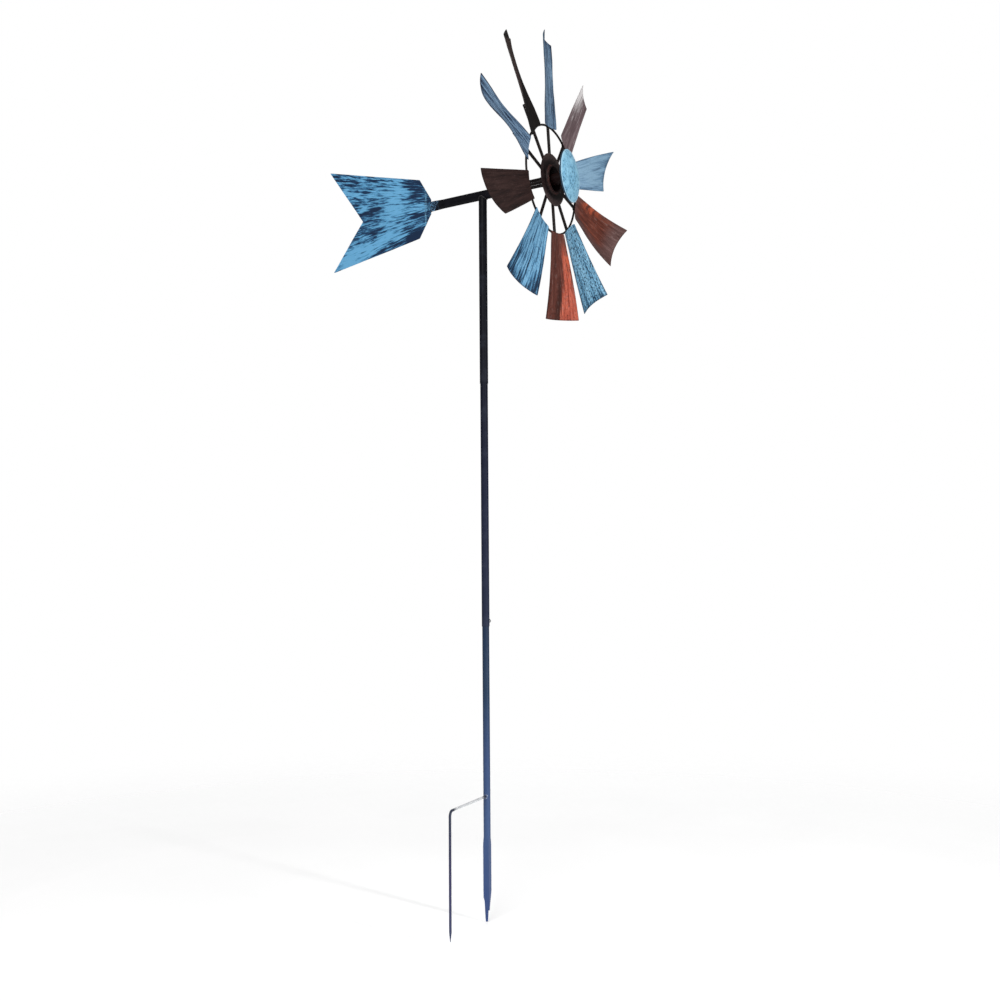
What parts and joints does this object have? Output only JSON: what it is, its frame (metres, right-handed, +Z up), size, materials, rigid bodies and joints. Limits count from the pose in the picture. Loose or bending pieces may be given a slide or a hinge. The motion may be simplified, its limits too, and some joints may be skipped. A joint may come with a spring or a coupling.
{
  "type": "wind spinner",
  "caption": "Garden wind spinner on a ground stake: curled blades on a spoked wheel with a domed cap, and a swallow-tail vane that turns the head into the wind.",
  "frame": {"origin": "on the mast axis at ground level, level with the step bar's underside", "axes": "+Z up the mast; +X forward along the boom from the tail to the wheel, which is also the wheel's axis; the prong lies towards -Y"},
  "size_m": [0.5041, 0.4681, 1.4349],
  "materials": {
    "stake_paint": "satin enamel, slate blue",
    "mast_paint": "satin enamel, dark navy that lightens downwards",
    "head_paint": "satin enamel, near black",
    "tail_paint": "sky blue brushed over dark navy, hand painted",
    "blade_blue": "light blue brushed over dark navy, hand painted",
    "blade_brown": "dark brown with rust-red brushed patches, hand painted",
    "wheel_black": "satin enamel, black brown",
    "hub_brown": "dark brown, hand rubbed",
    "cap_blue": "light blue sponged over darker blue",
    "zinc_steel": "bright zinc plate",
    "polished_steel": "polished",
    "nylon": "black nylon"
  },
  "bodies": {
    "mast": {"lower_tube": "stake_paint", "prong": "stake_paint", "middle_tube": "mast_paint", "joint_screw": "zinc_steel", "thrust_plug": "zinc_steel", "thrust_ball": "polished_steel"},
    "head": {"head_tube": "head_paint", "pivot_plug": "zinc_steel", "boom": "head_paint", "tail_plate": "tail_paint", "axle_plug": "zinc_steel", "axle": "zinc_steel", "rear_washer": "head_paint", "front_washer": "zinc_steel", "axle_nut": "zinc_steel"},
    "wheel": {"rear_bush": "nylon", "front_bush": "nylon", "hub_sleeve": "wheel_black", "hub_dish": "hub_brown", "cap": "cap_blue", "cap_socket": "wheel_black", "spoke_01": "wheel_black", "spoke_02": "wheel_black", "spoke_03": "wheel_black", "spoke_04": "wheel_black", "spoke_05": "wheel_black", "spoke_06": "wheel_black", "spoke_07": "wheel_black", "spoke_08": "wheel_black", "spoke_09": "wheel_black", "spoke_10": "wheel_black", "hoop_arc_01": "wheel_black", "hoop_arc_02": "wheel_black", "hoop_arc_03": "wheel_black", "hoop_arc_04": "wheel_black", "hoop_arc_05": "wheel_black", "hoop_arc_06": "wheel_black", "hoop_arc_07": "wheel_black", "hoop_arc_08": "wheel_black", "hoop_arc_09": "wheel_black", "hoop_arc_10": "wheel_black", "blade_01": "blade_blue", "blade_02": "blade_brown", "blade_03": "blade_blue", "blade_04": "blade_brown", "blade_05": "blade_blue", "blade_06": "blade_brown", "blade_07": "blade_blue", "blade_08": "blade_brown", "blade_09": "blade_blue", "blade_10": "blade_brown"}
  },
  "joints": [
    {"name": "head_yaw", "type": "hinge", "parent": "mast", "child": "head", "pos_m": [0, 0, 0.96], "axis": [0, 0, 1], "continuous": true},
    {"name": "wheel_spin", "type": "hinge", "parent": "head", "child": "wheel", "pos_m": [0.1313, 0, 1.01], "axis": [1, 0, 0], "continuous": true}
  ]
}
